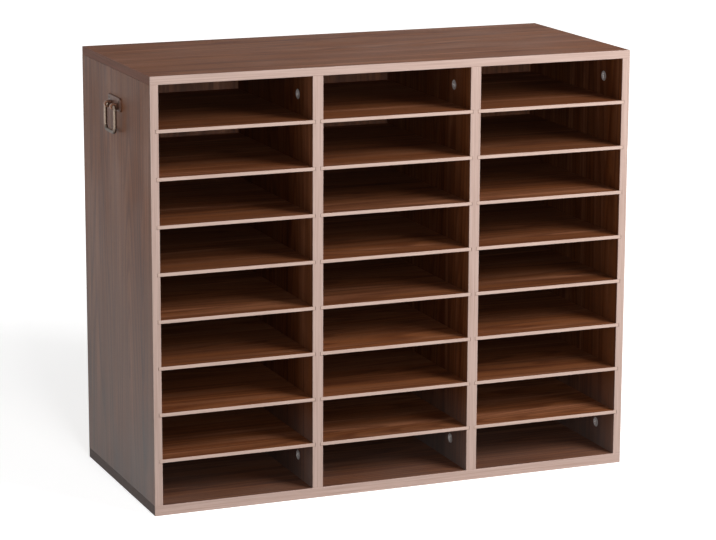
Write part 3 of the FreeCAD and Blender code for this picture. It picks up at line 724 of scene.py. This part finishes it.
def plate_form():
    """A rounded plate as a slab.

    Its square grid is bent into quarter circles at the corners. The rim falls off as a quarter circle.
    Grid points near a screw hole's edge move onto it, and those inside it sink down a cone.
    """
    half_y = (plate_high.y - plate_low.y) / 2
    half_z = (plate_high.z - plate_low.z) / 2
    middle_z = (plate_high.z + plate_low.z) / 2
    y, z = np.meshgrid(np.linspace(-half_y, half_y, int(2 * half_y / hole_step) + 1),
                       np.linspace(-half_z, half_z, int(2 * half_z / hole_step) + 1), indexing="ij")
    corner_y = np.clip((np.abs(y) - half_y + plate_corner) / plate_corner, 0, 1)
    corner_z = np.clip((np.abs(z) - half_z + plate_corner) / plate_corner, 0, 1)
    bent_y = half_y - plate_corner + plate_corner * corner_y * np.sqrt(1 - corner_z ** 2 / 2)
    bent_z = half_z - plate_corner + plate_corner * corner_z * np.sqrt(1 - corner_y ** 2 / 2)
    y = np.where(corner_y > 0, np.sign(y) * bent_y, y)
    z = np.where(corner_z > 0, np.sign(z) * bent_z, z)
    outside_y = np.maximum(np.abs(y) - half_y + plate_corner, 0)
    outside_z = np.maximum(np.abs(z) - half_z + plate_corner, 0)
    inward = np.where((outside_y > 0) & (outside_z > 0), plate_corner - np.hypot(outside_y, outside_z),
                      np.minimum(half_y - np.abs(y), half_z - np.abs(z)))
    fall = np.clip(1 - inward / plate_rim, 0, 1)
    rise = plate_thickness - plate_rim * (1 - np.sqrt(1 - fall ** 2))
    z = z + middle_z
    for hole_y in (-hole_place_y, hole_place_y):
        from_y = y - hole_y
        from_z = z - hole_place_z
        distance = np.hypot(from_y, from_z)
        near = np.abs(distance - hole_radius) < 0.6 * hole_step
        stretch = np.where(near, hole_radius / np.maximum(distance, 1e-9), 1.0)
        y = hole_y + from_y * stretch
        z = hole_place_z + from_z * stretch
        depth = np.clip(hole_radius - distance * stretch, 0, plate_thickness - 0.1 * mm)
        rise = np.minimum(rise, plate_thickness - depth)
    top = np.stack([outer_face + rise, y, z], axis=-1)
    bottom = np.stack([np.full(y.shape, outer_face), y, z], axis=-1)
    return slab(top, bottom)


lug_inner = 11 * mm
lug_outer = 17 * mm
lug_radius = plate_high.x - bail_axis_x
lug_bore = wire_radius + 0.05 * mm
lug_edge = 0.9 * mm
lug_flare = 0.22
flare_from = 0.45
bore_mouth = 0.2 * mm


def lug_form(end):
    """A lug as a tyre round the pin's axis.

    Across the bore its wall runs along Y, with rounded edges. Its outer radius is a half circle away from
    the plate, and towards it straight sides that flare into the plate.
    """
    angle = np.linspace(0, 2 * np.pi, 72, endpoint=False)
    toward = -np.cos(angle)
    reach = bail_axis_x - outer_face - plate_thickness / 2
    straight = lug_radius / np.maximum(np.abs(np.sin(angle)), 1e-6)
    foot = reach / np.maximum(toward, 1e-6)
    outer = np.where(toward > 0, np.minimum(straight, foot), lug_radius)
    flare = 1 + lug_flare * np.clip((toward * outer / reach - flare_from) / (1 - flare_from), 0, 1) ** 2
    turn = np.linspace(0, np.pi / 2, 5)
    drop = lug_edge * (1 - np.sin(turn))
    inset = lug_edge * (1 - np.cos(turn))
    wall_y = np.concatenate([[lug_inner + bore_mouth, lug_inner], lug_inner + drop[::-1],
                             lug_outer - drop, [lug_outer, lug_outer - bore_mouth]])
    inset = np.concatenate([inset[::-1], inset])
    outer_rows = outer[None, :] * flare[None, :] - inset[:, None]
    bore_row = np.full((1, len(angle)), lug_bore)
    radius = np.concatenate([bore_row, bore_row + bore_mouth, outer_rows, bore_row + bore_mouth, bore_row])
    x = np.maximum(bail_axis_x + radius * np.cos(angle), outer_face + 0.3 * mm)
    z = bail_axis_z + radius * np.sin(angle)
    y = np.broadcast_to(wall_y[:, None], radius.shape)
    grid = np.stack([x, y, z], axis=-1)
    if end < 0:
        grid = grid[::-1] * (1, -1, 1)
    return double_ring(grid)


def on_side(forms, side):
    """Forms on the right side as they are, or turned half round the upright axis for the left."""
    return [(points * (side, side, 1), faces) for points, faces in forms]


sides = ((1, "right"), (-1, "left"))
bronze = bronzed_zinc("zinc_casting_bronzed", outer_face)
for side, name in sides:
    make_piece(name + "_handle_cast_plate", on_side([plate_form(), lug_form(1), lug_form(-1)], side),
               bronze, "carcass", name + "_handle_plate")


# ---------- handle screws
# Countersunk steel screws, bronzed like the plates. They stop short of the saw cuts in the side's inner
# face.
handle_screw_low, handle_screw_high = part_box("right_handle_screws")
shank_radius = 1.75 * mm
handle_recess = (0.9 * mm, 4.0 * mm, 1.2 * mm)
handle_pitch = 1.4 * mm
handle_thread_depth = 0.45 * mm
handle_point = 2 * mm
handle_point_radius = 0.3 * mm


def handle_screw(y):
    """A screw from its point to a flat head on a cone of 90 degrees."""
    length = handle_screw_high.x - handle_screw_low.x
    head = flat_head_radius - shank_radius
    thread = np.arange(0.0, length - head - screw_neck, handle_pitch / steps_per_pitch)
    along = np.concatenate([thread, [length - head, length - 0.1 * mm]])
    growth = np.clip(thread / handle_point, 0, 1)
    radius = np.concatenate([handle_point_radius + (shank_radius - handle_point_radius) * growth,
                             [shank_radius, flat_head_radius]])
    face_radius = np.linspace(flat_head_radius - 0.1 * mm, 0.05 * mm, 16)
    face_along = np.full(len(face_radius), length)
    return headed_rod((handle_screw_low.x, y, hole_place_z), (1, 0, 0), along, radius, 0.0,
                      length - head - 0.4 * mm, handle_thread_depth, handle_pitch, face_along, face_radius,
                      handle_recess, 40)


bronzed_steel = plated_steel("screw_steel_bronzed", "#3A2C24", "#5E4838", 0.38)
for side, name in sides:
    make_piece(name + "_handle_flat_head_screws",
               on_side([handle_screw(-hole_place_y), handle_screw(hole_place_y)], side),
               bronzed_steel, "carcass", name + "_handle_screws")


# ---------- bails
# Steel wire, 5 mm thick, bent to a drop bail and satin nickel plated. Its inturned pins turn in the lugs.
# The grip is dulled, and darkened by painted shade: its dark colour stands in for the dark surroundings that
# the bottom bar reflects.
def satin_nickel(name, shaded_grip_top):
    """Nickel plate over brushed wire: tarnished to a warm brown grey, its gloss broken by brush lines."""
    dull_and_shade_margin = 6 * mm
    material, tree = new_material(name)
    brushed = add(tree, "TexNoise", {"Vector": drawn_out(tree, "Z", 0.3 * mm, 9 * mm), "Scale": 1.0,
                                     "Detail": 3.0})
    clouds = add(tree, "TexNoise", {"Vector": drawn_out(tree, "Z", 5 * mm, 5 * mm), "Scale": 1.0,
                                    "Detail": 3.0})
    colour = add(tree, "ValToRGB", {"Fac": clouds}, stops=[(0.3, "#6F6156"), (0.7, "#857568")])
    above_shaded_grip = beyond(tree, "Z", shaded_grip_top - dull_and_shade_margin, dull_and_shade_margin)
    # Painted shade: the grip below this is coloured dark for the dark surroundings it reflects.
    colour = add(tree, "Mix", {0: above_shaded_grip, 6: "#3A312A", 7: colour}, data_type="RGBA")
    dulled = add(tree, "MapRange", {"Value": above_shaded_grip, "To Min": 0.5, "To Max": 0.22})
    lines = add(tree, "MapRange", {**usual, "Value": brushed, "To Min": 0.0, "To Max": 0.1})
    satin = add(tree, "Math", {0: lines, 1: dulled}, operation="ADD")
    return finish_surface(material, colour, satin, brushed, 0.012 * mm, Metallic=1.0)


bail_arm = 22.5 * mm
bail_drop = 37 * mm
top_bend = 4.5 * mm
bottom_bend = 8 * mm
pin_end = 9 * mm
pin_dome = 0.9 * mm


def half_wire():
    """Half of the bail's middle line, from a pin's end to the middle of the bottom bar.

    It gives Y, Z, the wire's radius and the heading, which is the angle in the YZ plane. Three straight
    runs are joined by two quarter circles. The pin's end is domed by a quarter of an ellipse.
    """
    dome = np.linspace(0.2, np.pi / 2, 6)
    turn = np.linspace(0, np.pi / 2, 11)
    pin = np.linspace(pin_end + pin_dome, bail_arm - top_bend, 6)[1:-1]
    arm = np.linspace(-top_bend, -bail_drop + bottom_bend, 14)[1:-1]
    bar = np.linspace(bail_arm - bottom_bend, 0, 8)[1:]
    y = np.concatenate([pin_end + pin_dome * (1 - np.cos(dome)), pin,
                        bail_arm - top_bend + top_bend * np.sin(turn), np.full(len(arm), bail_arm),
                        bail_arm - bottom_bend + bottom_bend * np.cos(turn), bar])
    z = np.concatenate([np.zeros(len(dome) + len(pin)), -top_bend + top_bend * np.cos(turn), arm,
                        -bail_drop + bottom_bend - bottom_bend * np.sin(turn),
                        np.full(len(bar), -bail_drop)])
    heading = np.concatenate([np.zeros(len(dome) + len(pin)), -turn, np.full(len(arm), -np.pi / 2),
                              -np.pi / 2 - turn, np.full(len(bar), -np.pi)])
    radius = np.full(len(y), wire_radius)
    radius[:len(dome)] *= np.sin(dome)
    return y, z, radius, heading


def bail_form():
    """The wire: a circle carried along the middle line and its mirror image."""
    y, z, radius, heading = half_wire()
    y = np.concatenate([y, -y[-2::-1]])
    z = np.concatenate([z, z[-2::-1]])
    radius = np.concatenate([radius, radius[-2::-1]])
    heading = np.concatenate([heading, -2 * np.pi - heading[-2::-1]])
    angle = np.linspace(0, 2 * np.pi, 24, endpoint=False)
    beside = np.stack([np.zeros(len(y)), np.sin(heading), -np.cos(heading)], axis=-1)
    middle = np.stack([np.full(len(y), bail_axis_x), y, bail_axis_z + z], axis=-1)
    across = np.cos(angle)[None, :, None] * np.array([1.0, 0.0, 0.0])
    return closed_rings(middle[:, None] + radius[:, None, None] * (
        across + np.sin(angle)[None, :, None] * beside[:, None]))


nickel = satin_nickel("wire_satin_nickel_plated", bail_axis_z - bail_drop + bottom_bend)
for side, name in sides:
    make_piece(name + "_bail_wire", on_side([bail_form()], side), nickel,
               name + "_bail", name + "_handle_bail")


# ---------- studio
# A white paper floor under soft lamps. The floor and the surroundings turn white for the camera and in
# reflections, and the floor keeps the sorter's shadow.
def white_for_the_eye(tree):
    """1 for rays from the camera, in mirror reflections and through glass, else 0."""
    path = add(tree, "LightPath")
    seen = add(tree, "Math", {0: path.outputs["Is Camera Ray"], 1: path.outputs["Is Glossy Ray"]},
               operation="MAXIMUM")
    return add(tree, "Math", {0: seen, 1: path.outputs["Is Transmission Ray"]}, operation="MAXIMUM")


floor_reach = 9.0
floor_corners = floor_reach * np.array([(-1, -1, 0), (1, -1, 0), (1, 1, 0), (-1, 1, 0)])
floor_mesh = bpy.data.meshes.new("paper_floor")
floor_mesh.from_pydata(floor_corners.tolist(), [], [(0, 1, 2, 3)])
floor = bpy.data.objects.new("paper_floor", floor_mesh)
bpy.context.scene.collection.objects.link(floor)
paper, paper_tree = new_material("white_backdrop_paper")
matte = add(paper_tree, "BsdfDiffuse", {"Color": "#DADADA", "Roughness": 1.0})
# Close to the sorter the paper glows at less than white. The lamps add the rest, so the shadow shows.
distance = add(paper_tree, "VectorMath", {0: add(paper_tree, "TexCoord").outputs["Object"]},
               operation="LENGTH")
glow = add(paper_tree, "MapRange", {"Value": distance.outputs["Value"], "From Min": 0.7, "From Max": 2.4,
                                    "To Min": 0.74, "To Max": 1.0})
lift = add(paper_tree, "Math", {0: white_for_the_eye(paper_tree), 1: glow}, operation="MULTIPLY")
lit_paper = add(paper_tree, "Emission", {"Color": "#FFFFFF", "Strength": lift})
both = add(paper_tree, "AddShader", {0: matte, 1: lit_paper})
add(paper_tree, "OutputMaterial", {"Surface": both})
floor_mesh.materials.append(paper)

ambient = 0.16
world = bpy.data.worlds.new("studio_surroundings")
world.use_nodes = True
world.node_tree.nodes.clear()
strength = add(world.node_tree, "MapRange", {"Value": white_for_the_eye(world.node_tree), "To Min": ambient,
                                             "To Max": 1.0})
surroundings = add(world.node_tree, "Background", {"Color": "#FFFFFF", "Strength": strength})
add(world.node_tree, "OutputWorld", {"Surface": surroundings})
bpy.context.scene.world = world


def softbox(name, place, target, size, power):
    """A square area lamp at a place, facing a target."""
    data = bpy.data.lights.new(name, "AREA")
    data.shape = "SQUARE"
    data.size = size
    data.energy = power
    lamp = bpy.data.objects.new(name, data)
    lamp.visible_camera = False
    lamp.location = place
    lamp.rotation_euler = (Vector(target) - Vector(place)).to_track_quat("-Z", "Y").to_euler()
    bpy.context.scene.collection.objects.link(lamp)


softbox("key_softbox", (1.3, -1.755, 1.535), (0, 0, 0.3), 1.1, 51)
softbox("fill_softbox", (-0.5, -3.87, 1.05), (0, 0, 0.3), 1.0, 36)
softbox("side_softbox", (-1.8, -0.5, 0.3), (-0.38, 0, 0.1), 0.6, 2.8)
softbox("rear_softbox", (1.2, 2.5, 0.5), (0, 0, 0.3), 0.9, 21)

# The camera stands to the left of the front, a little above the top.
camera_data = bpy.data.cameras.new("camera")
camera_data.lens = 139.8
camera_data.sensor_width = 36.0
camera = bpy.data.objects.new("camera", camera_data)
camera_yaw = math.radians(22.19)
camera_pitch = math.radians(12.62)
camera_roll = math.radians(0.22)
camera_distance = 4.167
camera_target = Vector((0.005, -0.0005, 0.2949))
turned_camera = (Matrix.Rotation(-camera_yaw, 4, "Z") @ Matrix.Rotation(math.pi / 2 - camera_pitch, 4, "X")
                 @ Matrix.Rotation(camera_roll, 4, "Z"))
camera.matrix_world = (Matrix.Translation(camera_target) @ turned_camera
                       @ Matrix.Translation((0, 0, camera_distance)))
bpy.context.scene.collection.objects.link(camera)
bpy.context.scene.camera = camera
bpy.context.scene.view_settings.view_transform = "Standard"
